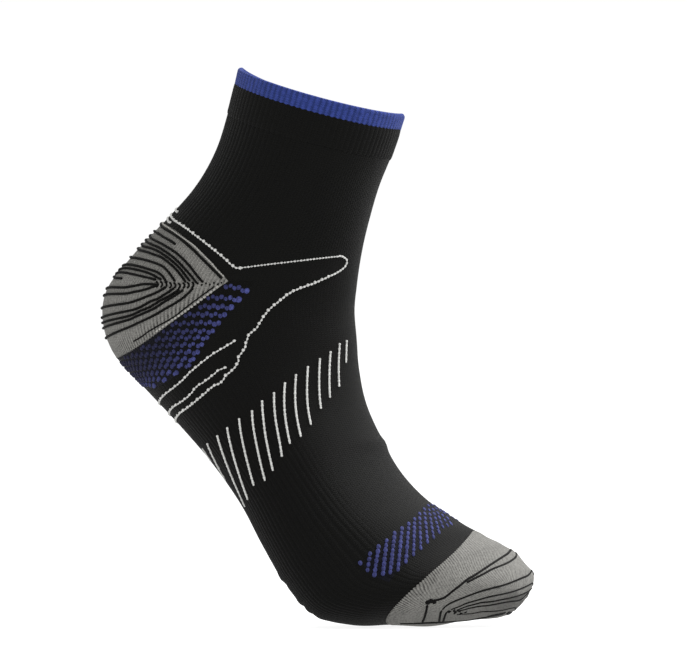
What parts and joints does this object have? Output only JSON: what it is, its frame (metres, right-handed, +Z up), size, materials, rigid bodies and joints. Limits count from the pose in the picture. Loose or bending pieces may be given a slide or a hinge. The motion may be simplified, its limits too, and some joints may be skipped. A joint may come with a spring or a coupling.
{
  "type": "compression sport sock",
  "caption": "Quarter-length compression sport sock for a right foot, as worn, with turned cuff, padded heel and toe, arch band and mesh panels.",
  "frame": {"origin": "centre of the mouth, where the foot goes in", "axes": "+X from heel to toe, +Y towards the big toe's side, +Z up"},
  "size_m": [0.1774, 0.094, 0.2318],
  "materials": {
    "edge_yarn": "royal blue ribbed knit",
    "plain_yarn": "black fine-gauge knit with faint ribs",
    "padded_yarn": "grey terry-backed knit with single black courses",
    "mesh_yarn": "black mesh knit with small blue tuck stitches"
  },
  "bodies": {
    "root": {"edge_band": "edge_yarn", "cuff": "plain_yarn", "leg": "plain_yarn", "ankle_panel": "plain_yarn", "heel_pocket": "padded_yarn", "heel_mesh": "mesh_yarn", "foot": "plain_yarn", "arch_band": "plain_yarn", "forefoot": "plain_yarn", "instep_mesh": "mesh_yarn", "toe_cap": "padded_yarn"}
  },
  "joints": []
}
